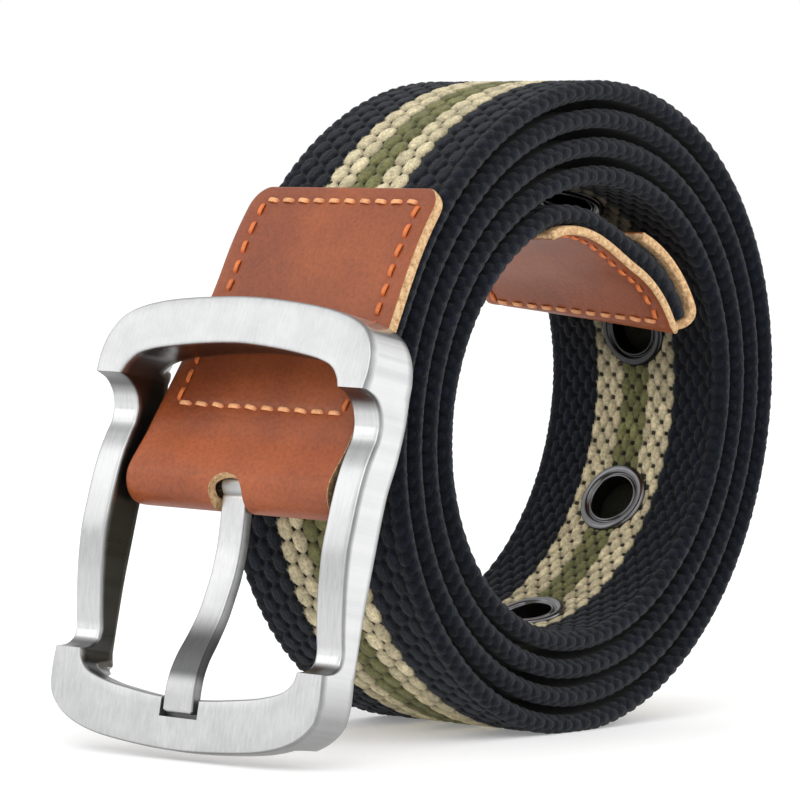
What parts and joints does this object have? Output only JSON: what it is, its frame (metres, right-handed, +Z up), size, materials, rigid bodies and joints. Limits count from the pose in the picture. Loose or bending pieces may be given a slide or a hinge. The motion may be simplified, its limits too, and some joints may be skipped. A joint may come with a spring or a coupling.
{
  "type": "belt",
  "caption": "Striped canvas web belt lying coiled, with a leather tab carrying a hinged pin-buckle frame and prong, a leather tip and metal eyelets.",
  "frame": {"origin": "centre of the belt's footprint box, on the floor that the coil and the buckle's lower end stand on", "axes": "+X from the buckle to the coil's far side, +Y along the coil's axis, away from the edge that shows in the picture, +Z up"},
  "size_m": [0.1306, 0.0538, 0.1068],
  "materials": {
    "web": "coarse woven cotton web, navy with a cream and olive stripe along the middle",
    "leather": "smooth orange-brown leather with peach and orange stitching and pale raw edges",
    "buckle_metal": "silver-coloured cast alloy, satin and finely brushed",
    "eyelet_metal": "dark gunmetal plate, polished"
  },
  "bodies": {
    "strap": {"strap_web": "web", "leather_tab": "leather", "leather_tip": "leather", "eyelet_1": "eyelet_metal", "eyelet_2": "eyelet_metal", "eyelet_3": "eyelet_metal", "eyelet_4": "eyelet_metal", "eyelet_5": "eyelet_metal", "eyelet_6": "eyelet_metal"},
    "frame": {"buckle_frame": "buckle_metal"},
    "prong": {"buckle_prong": "buckle_metal"}
  },
  "joints": [
    {"name": "frame_swing", "type": "hinge", "parent": "strap", "child": "frame", "pos_m": [-0.04847, 0.00012, 0.0418], "axis": [0.0942, -0.9954, -0.0178], "range_deg": [0, 35]},
    {"name": "prong_swing", "type": "hinge", "parent": "frame", "child": "prong", "pos_m": [-0.04847, 0.00012, 0.0418], "axis": [-0.0942, 0.9954, 0.0178], "range_deg": [0, 55]}
  ]
}
